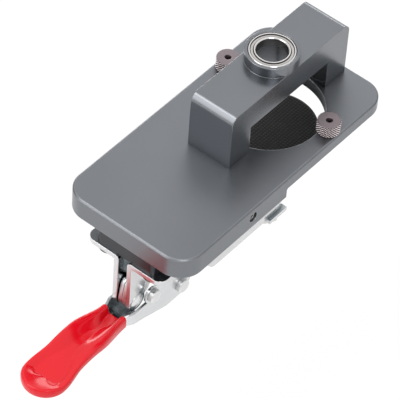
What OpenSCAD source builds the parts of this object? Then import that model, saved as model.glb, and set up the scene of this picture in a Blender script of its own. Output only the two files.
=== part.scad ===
// Hinge drilling jig: a clamp-on guide for boring 35 mm cabinet hinge cups.
// The origin lies on the drill axis, in the face that rests on the door.
// +X runs along the plate away from the clamp handle and +Z points up. Millimetres.

/* [Base plate] */
// Overall length of the plate
plate_length = 118.2; // [114:0.1:126]
// Overall width of the plate
plate_width = 57.6; // [57:0.1:70]
// Distance from the drill axis to the far end
far_reach = 36.5; // [35:0.1:44]
// Radius of the four corners
plate_corner_r = 9.6; // [4:0.1:12]
// Thickness of the part that lies on the door
plate_thickness = 5; // [4:0.1:8]
// Depth of the fence below the door face
fence_depth = 4.2; // [3:0.1:8]
// Distance from the drill axis to the fence
fence_distance = 23.5; // [22.5:0.1:25]
// Root radius where the fence meets the door face
fence_root_r = 0.9; // [0.4:0.1:1.5]
// Bevel along the top edge
edge_break = 0.6; // [0.3:0.1:1.2]
// Diameter of the window for the hinge cutter
cutter_hole_d = 44; // [38:0.5:44.5]

/* [Bridge] */
// Length over both legs
bridge_length = 67.8; // [67.5:0.1:70]
// Width across the beam
bridge_width = 19.4; // [16:0.1:24]
// Height above the plate
bridge_height = 25; // [22:0.1:34]
// Thickness of the beam
beam_thickness = 12; // [8:0.1:14]
// Thickness of each leg
leg_thickness = 11.4; // [9:0.1:11.5]
// Radius of the two outer top edges
bridge_fillet = 3.5; // [1:0.1:5]
// Diameter of the bearing boss
boss_d = 20.4; // [19.8:0.1:24]
// Height of the boss above the beam
boss_height = 4.5; // [4.2:0.1:8]

/* [Drill bearing] */
// Bore of the bearing, which guides the cutter shank
bearing_bore = 12; // [12:0.1:12.4]
// Outer diameter of the bearing
bearing_od = 18; // [18:0.1:18.6]
// Width of the bearing
bearing_width = 4; // [3.6:0.1:4.1]
// Diameter of one ball
ball_d = 1.6; // [1.4:0.1:1.8]
// Number of balls
ball_count = 14; // [8:1:18]

/* [Pilot bushes] */
// Distance between the two hinge screw holes
bush_spacing = 48; // [47:0.1:48]
// Offset of the screw holes from the drill axis
bush_offset = 6; // [5.5:0.1:9]
// Diameter of the knurled head
bush_head_d = 9; // [8:0.1:9]
// Height of the knurled head
bush_head_h = 5.2; // [4:0.1:8]
// Diameter of the shank in the plate
bush_shank_d = 5; // [4.5:0.1:5.5]
// Bore that guides the pilot drill
bush_bore = 2.5; // [2:0.1:3.5]
// Number of teeth round the knurl
knurl_teeth = 30; // [20:1:40]

/* [Clamp mount] */
// Length of the spacer block
block_length = 38; // [37:0.1:44]
// Width of the spacer block
block_width = 27; // [27:0.1:36]
// Height of the spacer block
block_height = 8.9; // [7:0.1:14]
// Setback of the block from the plate's near end
block_inset = 2; // [1:0.1:3]
// Setback of the clamp from the plate's near end
clamp_inset = 1.2; // [0.8:0.1:3]
// Thickness of the clamp sheet
base_sheet = 2; // [1.6:0.1:2]
// Length of the clamp flanges
flange_length = 37; // [35:0.1:42]
// Width over both flanges
flange_width = 35.7; // [33:0.1:42]
// Diameter of the mounting screws
clamp_screw_d = 4; // [3.5:0.1:4.6]
// Spacing of the mounting screws along the clamp
screw_pitch_x = 26; // [24:0.1:28]
// Spacing of the mounting screws across the clamp
screw_pitch_y = 20.8; // [20:0.1:21]
// Height of the side set screw hole above the thick part's underside
set_screw_height = 4.8; // [3.5:0.1:5.5]
// Distance of the side set screw from the plate's near end
set_screw_x = 38.8; // [34:0.1:42]

/* [Toggle linkage] */
// Link pivot: distance from the clamp's near end
link_pivot_x = 4.2; // [4:0.1:5]
// Link pivot: drop below the clamp seat
link_pivot_drop = 22.9; // [22:0.1:24]
// Arm pivot: distance from the clamp's near end
arm_pivot_x = 34.5; // [33:0.1:36]
// Arm pivot: drop below the clamp seat
arm_pivot_drop = 17.9; // [17:0.1:19]
// Handle to link pivot in the closed position: distance from the near end
knee_pivot_x = 10.5; // [10:0.1:11]
// Handle to link pivot in the closed position: drop below the seat
knee_pivot_drop = 22.9; // [22.4:0.1:23.4]
// Handle to arm pivot in the closed position: distance from the near end
handle_pivot_x = 27.1; // [26:0.1:28]
// Handle to arm pivot in the closed position: drop below the seat
handle_pivot_drop = 31.1; // [30:0.1:32]
// Diameter of the link and knee rivets
small_rivet_d = 3.5; // [3:0.1:4]
// Diameter of the arm and handle rivets
large_rivet_d = 4; // [3.5:0.1:4.5]
// Thickness of one link plate
link_sheet = 1.6; // [1.2:0.1:1.6]

/* [Clamp arm and spindle] */
// Thickness of the arm sheet
arm_sheet = 1.7; // [1.4:0.1:1.7]
// Height of the arm bar
bar_height = 8.8; // [7:0.1:10]
// Drop of the bar's top edge below the clamp seat
bar_drop = 31.4; // [30:0.1:32]
// Distance of the spindle from the drill axis
spindle_x = 5.2; // [5:0.1:9]
// Diameter of the spindle
spindle_d = 6; // [5:0.1:6]
// Length of the spindle below the pad
spindle_length = 41.2; // [41:0.1:48]
// Diameter of the rubber pad
pad_d = 34.2; // [24:0.1:34.4]
// Thickness of the rubber pad
pad_thickness = 9; // [7:0.1:12]
// Gap between the pad and the door face with the clamp closed
pad_gap = 8.2; // [7.5:0.1:11]

/* [Handle] */
// Thickness of the handle sheet
handle_sheet = 1; // [0.8:0.1:1.2]
// Width over the coating at the mouth of the grip
mouth_width = 11.2; // [11:0.1:13]
// Width over the coating along the body of the grip
body_width = 14.4; // [13.2:0.1:16]
// Width over the coating at the thumb rest
thumb_width = 17; // [15:0.1:20]
// Length of the coated grip
grip_length = 46.6; // [44:0.1:60]
// Height of the arch along the grip, which lies in the palm
grip_arch = 2.2; // [0:0.1:3]
// Thickness of the coating
coating = 0.8; // [0.6:0.1:0.9]

/* [Hidden] */
$fn = 64;

// Clearances: fasteners in their holes, running fits, and sheets that slide past each other
fastener_gap = 0.05;
running_gap = 0.05;
sheet_gap = 0.15;
past = 1;

// Levels and ends of the plate and bridge
plate_top = plate_thickness;
half_width = plate_width / 2;
near_x = far_reach - plate_length;
bridge_top = plate_top + bridge_height;
boss_top = bridge_top + boss_height;
bearing_seat = boss_top - bearing_width;
leg_x = (bridge_length - leg_thickness) / 2;
bridge_screw_d = 4;
bridge_screw_y = bridge_width / 4;
bridge_screw_depth = bridge_height - beam_thickness;
countersink = 2;

// Bearing section: a ball between two grooved races
pitch_r = (bearing_bore + bearing_od) / 4;
ball_gap = 0.03;
race_gap = 0.6;
bearing_mid = bearing_seat + bearing_width / 2;
shield_sheet = 0.3;
shield_recess = 0.3;

// Clamp seat and pivots, as points in the XZ plane
seat_z = -fence_depth - block_height;
clamp_near = near_x + clamp_inset;
flange_bottom = seat_z - base_sheet;
link_pivot = [clamp_near + link_pivot_x, seat_z - link_pivot_drop];
arm_pivot = [clamp_near + arm_pivot_x, seat_z - arm_pivot_drop];
knee_pivot = [clamp_near + knee_pivot_x, seat_z - knee_pivot_drop];
handle_pivot = [clamp_near + handle_pivot_x, seat_z - handle_pivot_drop];
screw_x = [clamp_near + 5.2, clamp_near + 5.2 + screw_pitch_x];
screw_head_d = clamp_screw_d + 4.6;
screw_head_h = 2.8;
screw_bite = 6;

// Layers across the clamp, as distances from its middle plane
link_in = sheet_gap / 2;
link_out = link_in + link_sheet;
web_rear_in = link_out + 0.4;
web_rear_out = web_rear_in + base_sheet;
arm_in = spindle_d / 2 + 0.35;
arm_out = arm_in + arm_sheet;
web_front_out = arm_in - sheet_gap;
web_front_in = web_front_out - base_sheet;
rivet_head_h = 0.9;
link_head_d = small_rivet_d + 3.1;
knee_head_d = small_rivet_d + 2.1;
handle_head_d = large_rivet_d + 1.8;
arm_head_d = large_rivet_d + 3;
arm_head_h = 1.2;
lever_in = max(arm_out + 0.2, web_rear_out + rivet_head_h + sheet_gap);
lever_out = lever_in + handle_sheet;
knob_head_h = 2;

// Web of the clamp base and the links in it: lobes, band, eyes and the joggle between the two layers
rear_lobe_r = link_pivot_x;
front_lobe_r = 5.2;
web_band = 10.4;
link_setback = 0.3;
link_r = rear_lobe_r - link_setback;
link_eye_r = 3.6;
link_heel_r = 3;
link_heel_rise = 7;
link_heel = link_pivot + [link_setback, link_heel_rise];
joggle_x = clamp_near + 2 * rear_lobe_r + 0.6;
joggle_run = 4.5;

// Arm and spindle
bar_top = seat_z - bar_drop;
bar_bottom = bar_top - bar_height;
bar_mid = bar_top - bar_height / 2;
arm_lug_r = 4.6;
arm_crank = 15.3;
bar_knee = [arm_pivot[0] + arm_crank, bar_mid];
bend_run = 1.7;
bend_x = spindle_x + bend_run;
washer_sheet = 1.4;
washer_length = 10.2;
washer_lip = 1.8;
lip_sheet = 0.9;
washer_reach = 1.3;
washer_out = arm_out + washer_reach;
washer_play = 0.3;
plain_washer_rim = 3.5;
nut_flats = spindle_d + 4;
nut_height = 3.2;
pad_top = -pad_gap;
pad_bottom = pad_top - pad_thickness;
spindle_head_d = 2 * spindle_d;
spindle_head_h = 3.5;

// Handle lever and its grip
lever_lug_r = 5.4;
knee_lug_r = 3.8;
mouth_x = clamp_near - 3.5;
lever_top = link_pivot[1] - 2.6;
tongue_top = lever_top - 3.4;
tongue_bottom = tongue_top - handle_sheet;
grip_tip = mouth_x - grip_length;
grip_bottom = tongue_bottom - coating;
grip_floor = tongue_top + coating;
grip_rim_mouth = lever_top + coating - grip_floor;
grip_rim_thumb = 1.3;
grip_wall = 2 * coating + handle_sheet + 0.4;
mouth_run = 16;
rim_run = 4;
tip_half = 0.3;
channel_out = mouth_width / 2 - coating;
channel_in = channel_out - handle_sheet;
tongue_end = grip_tip + thumb_width / 2;
channel_run = 8;
heel_x = knee_pivot[0] - 4.6;
heel_drop = 2.4;
neck_x = clamp_near + 0.3;
tongue_setback = 2.5;

// Flat shapes

// Rectangle with four round corners
module rounded_rect(x0, x1, y0, y1, r) {
    translate([x0 + r, y0])
        square([x1 - x0 - 2 * r, y1 - y0]);
    translate([x0, y0 + r])
        square([x1 - x0, y1 - y0 - 2 * r]);
    for (x = [x0 + r, x1 - r], y = [y0 + r, y1 - r])
        translate([x, y])
            circle(r);
}

// The four points where a belt touches two pulleys
function belt_points(p, rp, q, rq) =
    let (
        along = atan2(q[1] - p[1], q[0] - p[0]),
        side = acos((rp - rq) / norm(q - p)),
        up = [cos(along + side), sin(along + side)],
        down = [cos(along - side), sin(along - side)]
    )
    [p + rp * up, q + rq * up, q + rq * down, p + rp * down];

// Bar with round ends of two radii, flat on the XY plane
module strap(p, rp, q, rq, h) {
    translate([p[0], p[1], 0])
        cylinder(r = rp, h = h);
    translate([q[0], q[1], 0])
        cylinder(r = rq, h = h);
    linear_extrude(h)
        polygon(belt_points(p, rp, q, rq));
}

// Stand a flat XZ shape up between two distances across the jig
module across(y0, y1) {
    translate([0, y1, 0])
        rotate([90, 0, 0])
            linear_extrude(y1 - y0)
                children();
}

// The same bar stood up between two distances across the jig
module strap_across(p, rp, q, rq, y0, y1) {
    translate([0, y1, 0])
        rotate([90, 0, 0])
            strap(p, rp, q, rq, y1 - y0);
}

// Hole or pin along Y through a pivot
module pin_across(pivot, d, y0, y1) {
    translate([pivot[0], y1, pivot[1]])
        rotate([90, 0, 0])
            cylinder(d = d, h = y1 - y0);
}

// The same shape on both sides of the middle plane
module both_sides() {
    children();
    mirror([0, 1, 0])
        children();
}

// Base plate

// Ring that bevels the top edge: a quarter turn and a straight run per corner
module top_edge_bevel() {
    r = plate_corner_r;
    corners = [[far_reach - r, half_width - r], [near_x + r, half_width - r],
               [near_x + r, r - half_width], [far_reach - r, r - half_width]];
    runs = [plate_length - 2 * r, plate_width - 2 * r];
    section = [[r - edge_break - past, past], [r + past, past], [r + past, -edge_break - past]];
    for (i = [0 : 3])
        translate([corners[i][0], corners[i][1], plate_top])
            rotate(90 * i) {
                rotate_extrude(angle = 90)
                    polygon(section);
                translate([-runs[i % 2], 0, 0])
                    rotate([90, 0, 90])
                        linear_extrude(runs[i % 2])
                            polygon(section);
            }
}

// Space that the door takes up, with its root left round
module door_space() {
    difference() {
        translate([-fence_distance, -fence_depth - past])
            square([fence_distance + far_reach + past, fence_depth + past]);
        difference() {
            translate([-fence_distance - past, -fence_root_r])
                square([fence_root_r + past, fence_root_r + past]);
            translate([fence_root_r - fence_distance, -fence_root_r])
                circle(fence_root_r);
            translate([-fence_distance, -fence_root_r - past])
                square([fence_root_r + past, past]);
        }
    }
}

// Holes for the countersunk screws that hold the bridge from below
module bridge_screw_holes() {
    for (side = [-1, 1], y = [-bridge_screw_y, bridge_screw_y]) {
        under = side < 0 ? -fence_depth : 0;
        translate([side * leg_x, y, under - past])
            cylinder(d = bridge_screw_d + 2 * fastener_gap, h = plate_top - under + 2 * past);
        translate([side * leg_x, y, under])
            cylinder(d1 = bridge_screw_d + 2 * (countersink + fastener_gap),
                     d2 = bridge_screw_d + 2 * fastener_gap, h = countersink);
    }
}

// Milled aluminium plate with a fence step, the cutter window and the screw holes
module base_plate() {
    color("slategray")
    difference() {
        translate([0, 0, -fence_depth])
            linear_extrude(fence_depth + plate_thickness)
                rounded_rect(near_x, far_reach, -half_width, half_width, plate_corner_r);
        across(-half_width - past, half_width + past)
            door_space();
        top_edge_bevel();
        translate([0, 0, -past])
            cylinder(d = cutter_hole_d, h = plate_top + 2 * past);
        for (y = [-bush_spacing / 2, bush_spacing / 2])
            translate([bush_offset, y, -past])
                cylinder(d = bush_shank_d + 2 * running_gap, h = plate_top + 2 * past);
        bridge_screw_holes();
        for (x = screw_x, y = [-screw_pitch_y / 2, screw_pitch_y / 2])
            translate([x, y, -fence_depth - past])
                cylinder(d = clamp_screw_d + 2 * fastener_gap, h = screw_bite + fastener_gap + past);
        pin_across(set_screw_point, set_screw_d + 2 * fastener_gap, -half_width - past,
                   set_screw_depth + set_screw_length + fastener_gap - half_width);
    }
}

// Side set screw
set_screw_d = 4;
set_screw_length = 8;
set_screw_depth = 0.8;
set_screw_point = [near_x + set_screw_x, set_screw_height - fence_depth];

// Headless screw with a hexagon socket, sunk in the front edge of the plate
module side_set_screw() {
    color("gainsboro")
    difference() {
        pin_across(set_screw_point, set_screw_d, set_screw_depth - half_width,
                   set_screw_depth + set_screw_length - half_width);
        translate([set_screw_point[0], set_screw_depth + 2 - half_width, set_screw_point[1]])
            rotate([90, 0, 0])
                cylinder(d = set_screw_d / 1.8, h = 2 + past, $fn = 6);
    }
}

// Bridge and bearing

// Side view of the bridge: two legs, a beam and round outer top edges
module bridge_profile() {
    half = bridge_length / 2;
    difference() {
        union() {
            translate([-half, plate_top])
                square([bridge_length, bridge_height - bridge_fillet]);
            translate([bridge_fillet - half, plate_top])
                square([bridge_length - 2 * bridge_fillet, bridge_height]);
            for (side = [-1, 1])
                translate([side * (half - bridge_fillet), bridge_top - bridge_fillet])
                    circle(bridge_fillet);
        }
        translate([leg_thickness - half, plate_top - past])
            square([bridge_length - 2 * leg_thickness, bridge_height - beam_thickness + past]);
    }
}

// Milled bridge that carries the bearing over the window
module bridge() {
    color("slategray")
    difference() {
        union() {
            across(-bridge_width / 2, bridge_width / 2)
                bridge_profile();
            translate([0, 0, bridge_top])
                cylinder(d = boss_d, h = boss_height);
        }
        translate([0, 0, bearing_seat])
            cylinder(d = bearing_od + 2 * fastener_gap, h = bearing_width + past);
        translate([0, 0, bridge_top - beam_thickness - past])
            cylinder(r = pitch_r + race_gap - 0.2, h = beam_thickness + boss_height);
        for (side = [-1, 1], y = [-bridge_screw_y, bridge_screw_y])
            translate([side * leg_x, y, plate_top - past])
                cylinder(d = bridge_screw_d + 2 * fastener_gap, h = bridge_screw_depth + fastener_gap + past);
    }
}

// Four countersunk screws with hexagon sockets
module bridge_screws() {
    color("dimgray")
    for (side = [-1, 1], y = [-bridge_screw_y, bridge_screw_y]) {
        under = side < 0 ? -fence_depth : 0;
        translate([side * leg_x, y, under])
            difference() {
                union() {
                    cylinder(d1 = bridge_screw_d + 2 * countersink, d2 = bridge_screw_d, h = countersink);
                    cylinder(d = bridge_screw_d, h = plate_top - under + bridge_screw_depth);
                }
                translate([0, 0, -past])
                    cylinder(d = 2.8, h = 1.6 + past, $fn = 6);
            }
    }
}

// Section of a race between two radii, with bevelled outer corners and the ball groove
module race_section(r0, r1, bevel_inside) {
    bevel = 0.3;
    c0 = bevel_inside ? bevel : 0;
    c1 = bevel_inside ? 0 : bevel;
    difference() {
        polygon([[r0 + c0, 0], [r1 - c1, 0], [r1, c1], [r1, bearing_width - c1],
                 [r1 - c1, bearing_width], [r0 + c0, bearing_width], [r0, bearing_width - c0], [r0, c0]]);
        translate([pitch_r, bearing_width / 2])
            circle(ball_d / 2 + ball_gap);
    }
}

module bearing_outer_race() {
    color("lightgray")
    translate([0, 0, bearing_seat])
        rotate_extrude()
            race_section(pitch_r + race_gap, bearing_od / 2, false);
}

module bearing_inner_race() {
    color("lightgray")
    translate([0, 0, bearing_seat])
        rotate_extrude()
            race_section(bearing_bore / 2, pitch_r - race_gap, true);
}

module bearing_balls() {
    color("silver")
    for (i = [0 : ball_count - 1])
        rotate(i * 360 / ball_count)
            translate([pitch_r, 0, bearing_mid])
                sphere(d = ball_d);
}

// Crown cage: a ring on one side of the balls, with a pocket for each
module bearing_cage() {
    cage_half = race_gap / 2;
    color("goldenrod")
    difference() {
        translate([0, 0, bearing_mid])
            rotate_extrude()
                translate([pitch_r - cage_half, 0])
                    square([2 * cage_half, ball_d / 2 + 0.2]);
        for (i = [0 : ball_count - 1])
            rotate(i * 360 / ball_count)
                translate([pitch_r, 0, bearing_mid])
                    sphere(d = ball_d + 2 * ball_gap);
    }
}

// Two thin rings that close the gap between the races
module bearing_shields() {
    color("silver")
    for (z = [bearing_seat + shield_recess, boss_top - shield_recess - shield_sheet])
        translate([0, 0, z])
            difference() {
                cylinder(r = pitch_r + race_gap, h = shield_sheet);
                translate([0, 0, -past])
                    cylinder(r = pitch_r - race_gap + 0.15, h = shield_sheet + 2 * past);
            }
}

// Pilot bushes

// Toothed disc with bevelled rims, turned down so that each tooth keeps a narrow land
module knurled_head() {
    r = bush_head_d / 2;
    crest = r + 0.15;
    root = r - 0.25;
    bevel = 0.5;
    step = 360 / knurl_teeth;
    intersection() {
        translate([0, 0, -past])
            linear_extrude(bush_head_h + 2 * past)
                polygon([for (i = [0 : knurl_teeth - 1], s = [0, 0.5])
                    (s > 0 ? root : crest) * [cos((i + s) * step), sin((i + s) * step)]]);
        rotate_extrude()
            polygon([[0, 0], [r - bevel, 0], [r, bevel], [r, bush_head_h - bevel], [r - bevel, bush_head_h],
                     [0, bush_head_h]]);
    }
}

// Removable steel bush: a knurled head on a shank that reaches the door
module pilot_bush(side) {
    color("rosybrown")
    translate([bush_offset, side * bush_spacing / 2, 0])
        difference() {
            union() {
                translate([0, 0, plate_top])
                    knurled_head();
                translate([0, 0, 0.2])
                    cylinder(d = bush_shank_d, h = plate_top);
            }
            translate([0, 0, -past])
                cylinder(d = bush_bore, h = plate_top + bush_head_h + 2 * past);
        }
}

module pilot_bush_front() {
    pilot_bush(-1);
}

module pilot_bush_rear() {
    pilot_bush(1);
}

// Clamp mount

// Dark block that drops the clamp below the plate
module spacer_block() {
    color([0.2, 0.2, 0.22])
    difference() {
        translate([0, 0, seat_z])
            linear_extrude(block_height)
                rounded_rect(near_x + block_inset, near_x + block_inset + block_length,
                             -block_width / 2, block_width / 2, 2);
        for (x = screw_x, y = [-screw_pitch_y / 2, screw_pitch_y / 2])
            translate([x, y, seat_z - past])
                cylinder(d = clamp_screw_d + 2 * fastener_gap, h = block_height + 2 * past);
    }
}

// Four pan head screws that go up through the flanges and the block into the plate
module clamp_screws() {
    shank = base_sheet + block_height + screw_bite;
    color([0.15, 0.15, 0.16])
    for (x = screw_x, y = [-screw_pitch_y / 2, screw_pitch_y / 2])
        translate([x, y, flange_bottom])
            difference() {
                union() {
                    cylinder(d = clamp_screw_d, h = shank);
                    rotate_extrude()
                        polygon([[0, 0], [screw_head_d / 2, 0], [screw_head_d / 2, 0.8 - screw_head_h],
                                 [screw_head_d / 2 - 0.8, -screw_head_h], [0, -screw_head_h]]);
                }
                translate([0, 0, -screw_head_h - past])
                    cylinder(d = 3.4, h = 1.6 + past, $fn = 6);
            }
}

// Side view of one web as a slab: a lobe for the link, a band below the flange and a lobe for the arm
module web_slab(y0, y1) {
    across(y0, y1) {
        translate([clamp_near, seat_z - web_band])
            square([arm_pivot_x + front_lobe_r, web_band]);
        translate([clamp_near, link_pivot[1]])
            square([2 * rear_lobe_r, link_pivot_drop]);
        translate([arm_pivot[0] - front_lobe_r, arm_pivot[1]])
            square([2 * front_lobe_r, arm_pivot_drop]);
    }
    pin_across(link_pivot, 2 * rear_lobe_r, y0, y1);
    pin_across(arm_pivot, 2 * front_lobe_r, y0, y1);
}

// Plan of one web: the rear layer, a joggle inwards and the front layer
module web_plan() {
    x1 = arm_pivot[0] + front_lobe_r;
    polygon([[clamp_near, web_rear_in], [joggle_x, web_rear_in], [joggle_x + joggle_run, web_front_in],
             [x1, web_front_in], [x1, web_front_out], [joggle_x + joggle_run, web_front_out],
             [joggle_x, web_rear_out], [clamp_near, web_rear_out]]);
}

// Pressed steel half of the clamp base, on the rear side
module clamp_base_half() {
    corner_r = 4;
    bend_r = 1.6;
    difference() {
        union() {
            translate([0, 0, flange_bottom])
                linear_extrude(base_sheet)
                    intersection() {
                        rounded_rect(clamp_near, clamp_near + flange_length,
                                     -flange_width / 2, flange_width / 2, corner_r);
                        translate([clamp_near, web_rear_in])
                            square([flange_length, flange_width / 2]);
                    }
            intersection() {
                web_slab(0, flange_width / 2);
                translate([0, 0, seat_z - link_pivot_drop - rear_lobe_r - past])
                    linear_extrude(link_pivot_drop + rear_lobe_r + past)
                        web_plan();
            }
        }
        // round outside of the bend
        translate([clamp_near - past, web_rear_in, seat_z])
            rotate([90, 0, 90])
                linear_extrude(joggle_x - clamp_near + past)
                    difference() {
                        translate([-past, -bend_r])
                            square([bend_r + past, bend_r + past]);
                        translate([bend_r, -bend_r])
                            circle(bend_r);
                    }
        for (x = screw_x)
            translate([x, screw_pitch_y / 2, flange_bottom - past])
                cylinder(d = clamp_screw_d + 2 * fastener_gap, h = base_sheet + 2 * past);
        pin_across(link_pivot, small_rivet_d + 2 * fastener_gap, 0, flange_width / 2);
        pin_across(arm_pivot, large_rivet_d + 2 * fastener_gap, 0, flange_width / 2);
    }
}

module clamp_base_rear() {
    color("lightsteelblue")
    clamp_base_half();
}

module clamp_base_front() {
    color("lightsteelblue")
    mirror([0, 1, 0])
        clamp_base_half();
}

// Toggle linkage

// Rivet head: a flat dome that stands on y0 and faces +Y
module domed_head(pivot, d, h, y0) {
    dome_r = (d * d / 4 + h * h) / (2 * h);
    translate([pivot[0], y0, pivot[1]])
        rotate([-90, 0, 0])
            intersection() {
                cylinder(d = d, h = h);
                translate([0, 0, h - dome_r])
                    sphere(dome_r);
            }
}

// Button head: a disc with a bevelled rim that stands on y0 and faces +Y
module button_head(pivot, d, h, y0) {
    bevel = 0.4;
    translate([pivot[0], y0, pivot[1]])
        rotate([-90, 0, 0])
            rotate_extrude()
                polygon([[0, 0], [d / 2, 0], [d / 2, h - bevel], [d / 2 - bevel, h], [0, h]]);
}

// Short link between the base and the handle, with a heel above its pivot
module link_half() {
    difference() {
        union() {
            strap_across(link_pivot, link_r, knee_pivot, link_eye_r, link_in, link_out);
            strap_across(link_pivot, link_r, link_heel, link_heel_r, link_in, link_out);
        }
        pin_across(link_pivot, small_rivet_d + 2 * running_gap, -past, link_out + past);
        pin_across(knee_pivot, small_rivet_d + 2 * fastener_gap, -past, link_out + past);
    }
}

module link_rear() {
    color("whitesmoke")
    link_half();
}

module link_front() {
    color("whitesmoke")
    mirror([0, 1, 0])
        link_half();
}

// Rivet that carries the links between the two webs
module link_rivet() {
    color("gainsboro")
    union() {
        pin_across(link_pivot, small_rivet_d, -web_rear_out, web_rear_out);
        both_sides()
            domed_head(link_pivot, link_head_d, rivet_head_h, web_rear_out);
    }
}

// Pin that ties the two links together at the knee
module link_pin() {
    color("gainsboro")
    pin_across(knee_pivot, small_rivet_d, -link_out, link_out);
}

// Two headed rivets in the handle's side plates at the knee
module knee_rivets() {
    color("gainsboro")
    both_sides()
        union() {
            pin_across(knee_pivot, small_rivet_d, lever_in, lever_out);
            button_head(knee_pivot, knee_head_d, knob_head_h, lever_out);
        }
}

// Clamp arm

// Side view of the arm as a slab: a lug for the handle, a lug for the base and the bar
module arm_slab(y0, y1) {
    strap_across(handle_pivot, arm_lug_r, arm_pivot, front_lobe_r, y0, y1);
    strap_across(arm_pivot, front_lobe_r, bar_knee, bar_height / 2, y0, y1);
    across(y0, y1)
        translate([bar_knee[0], bar_bottom])
            square([bend_x + arm_out - bar_knee[0], bar_height]);
}

// Plan of a U bar: two straight sides and a round bend
module arm_plan() {
    rear = handle_pivot[0] - arm_lug_r - past;
    difference() {
        union() {
            translate([rear, -arm_out])
                square([bend_x - rear, 2 * arm_out]);
            translate([bend_x, 0])
                circle(arm_out);
        }
        translate([rear - past, -arm_in])
            square([bend_x - rear + past, 2 * arm_in]);
        translate([bend_x, 0])
            circle(arm_in);
    }
}

// U bar that swings on the base and carries the spindle
module clamp_arm() {
    color("gainsboro")
    difference() {
        intersection() {
            arm_slab(-arm_out - past, arm_out + past);
            translate([0, 0, bar_bottom - past])
                linear_extrude(seat_z - bar_bottom)
                    arm_plan();
        }
        pin_across(arm_pivot, large_rivet_d + 2 * running_gap, -arm_out - past, arm_out + past);
        pin_across(handle_pivot, large_rivet_d + 2 * running_gap, -arm_out - past, arm_out + past);
    }
}

// Rivet that carries the arm on the base
module arm_rivet() {
    head_y = arm_out + sheet_gap;
    color("gainsboro")
    union() {
        pin_across(arm_pivot, large_rivet_d, -head_y, head_y);
        both_sides()
            domed_head(arm_pivot, arm_head_d, arm_head_h, head_y);
    }
}

// Tube that keeps the two webs apart on the arm rivet
module arm_spacers() {
    color("silver")
    difference() {
        pin_across(arm_pivot, large_rivet_d + 3, -web_front_in, web_front_in);
        pin_across(arm_pivot, large_rivet_d + 2 * fastener_gap, -web_front_in - past, web_front_in + past);
    }
}

// Handle

// Side view of the lever as a slab: two pivot lugs, a deep belly and the channel in the grip
module lever_slab(y0, y1) {
    belly = [handle_pivot[0] - 8, handle_pivot[1] - lever_lug_r];
    rise = grip_rise(channel_run);
    strap_across(knee_pivot, knee_lug_r, handle_pivot, lever_lug_r, y0, y1);
    across(y0, y1)
        polygon([[mouth_x - channel_run, tongue_top + rise], [mouth_x - channel_run, tongue_bottom + rise],
                 [mouth_x, tongue_bottom], [heel_x, tongue_bottom - heel_drop], belly,
                 [handle_pivot[0], belly[1]], handle_pivot, knee_pivot, [knee_pivot[0] - 3, lever_top],
                 [mouth_x, lever_top]]);
}

// Plan of one side plate: wide at the pivots and drawn in to the channel in the grip
module lever_plan() {
    x0 = mouth_x - channel_run;
    x1 = handle_pivot[0] + lever_lug_r;
    polygon([[x0, channel_in], [mouth_x, channel_in], [neck_x, lever_in], [x1, lever_in],
             [x1, lever_out], [neck_x, lever_out], [mouth_x, channel_out], [x0, channel_out]]);
}

// Side view of the sheet between the side plates: it drops to a heel and arches along the grip
module floor_profile() {
    stations = 12;
    tongue_run = grip_length - tongue_setback;
    bed = concat([[heel_x, tongue_bottom - heel_drop]],
                 [for (k = [0 : stations])
                     let (s = tongue_run * k / stations)
                     [mouth_x - s, tongue_bottom + grip_rise(s)]]);
    count = len(bed);
    polygon([for (i = [0 : 2 * count - 1])
        i < count ? bed[i] : bed[2 * count - 1 - i] + [0, handle_sheet]]);
}

// Floor of the lever, drawn in to the tongue that stiffens the grip, with a round end
module lever_floor() {
    tip_r = thumb_width / 2 - tongue_setback;
    depth = lever_top - handle_pivot[1] + lever_lug_r;
    intersection() {
        across(-lever_out - past, lever_out + past)
            floor_profile();
        translate([0, 0, handle_pivot[1] - lever_lug_r])
            union() {
                strap([mouth_x, 0], channel_out, [tongue_end, 0], tip_r, depth);
                linear_extrude(depth)
                    polygon([[mouth_x, channel_out], [mouth_x, -channel_out], [neck_x, -lever_out],
                             [heel_x, -lever_out], [heel_x, lever_out], [neck_x, lever_out]]);
            }
    }
}

// Pressed steel lever: two side plates on a floor
module handle_lever() {
    color("silver")
    difference() {
        union() {
            both_sides()
                intersection() {
                    lever_slab(0, lever_out + past);
                    translate([0, 0, handle_pivot[1] - lever_lug_r - past])
                        linear_extrude(seat_z - handle_pivot[1] + lever_lug_r)
                            lever_plan();
                }
            lever_floor();
        }
        pin_across(handle_pivot, large_rivet_d + 2 * fastener_gap, -lever_out - past, lever_out + past);
        pin_across(knee_pivot, small_rivet_d + 2 * fastener_gap, -lever_out - past, lever_out + past);
    }
}

// Rivet that joins the handle to the arm
module handle_rivet() {
    color("gainsboro")
    union() {
        pin_across(handle_pivot, large_rivet_d, -lever_out, lever_out);
        both_sides()
            button_head(handle_pivot, handle_head_d, knob_head_h, lever_out);
    }
}

// Washers between the arm and the side plates of the handle
module handle_washers() {
    color("silver")
    both_sides()
        difference() {
            pin_across(handle_pivot, large_rivet_d + 3.4, arm_out + sheet_gap, lever_in);
            pin_across(handle_pivot, large_rivet_d + 2 * fastener_gap, arm_out - past, lever_in + past);
        }
}

// Eased step from 0 to 1
function ease(t) = let (u = min(max(t, 0), 1)) u * u * (3 - 2 * u);

// Half width of the grip at a distance from its mouth: mouth, body, waist, thumb rest and round end
function grip_half(s) =
    let (
        body = (mouth_width + (body_width - mouth_width) * ease(s / mouth_run)) / 2,
        swell = (thumb_width - body_width) / 2 * ease((s - 0.56 * grip_length) / (0.22 * grip_length)),
        cap = thumb_width / 2,
        into_cap = max(s - (grip_length - cap), 0) / cap
    )
    (body + swell) * sqrt(max(1 - into_cap * into_cap, 0));

// Height of the rim above the dish: tall flanks at the mouth, a low lip at the thumb rest
function grip_rim(s) =
    let (fall = ease((s - rim_run) / (0.6 * grip_length)))
    grip_rim_mouth + (grip_rim_thumb - grip_rim_mouth) * fall;

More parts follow.
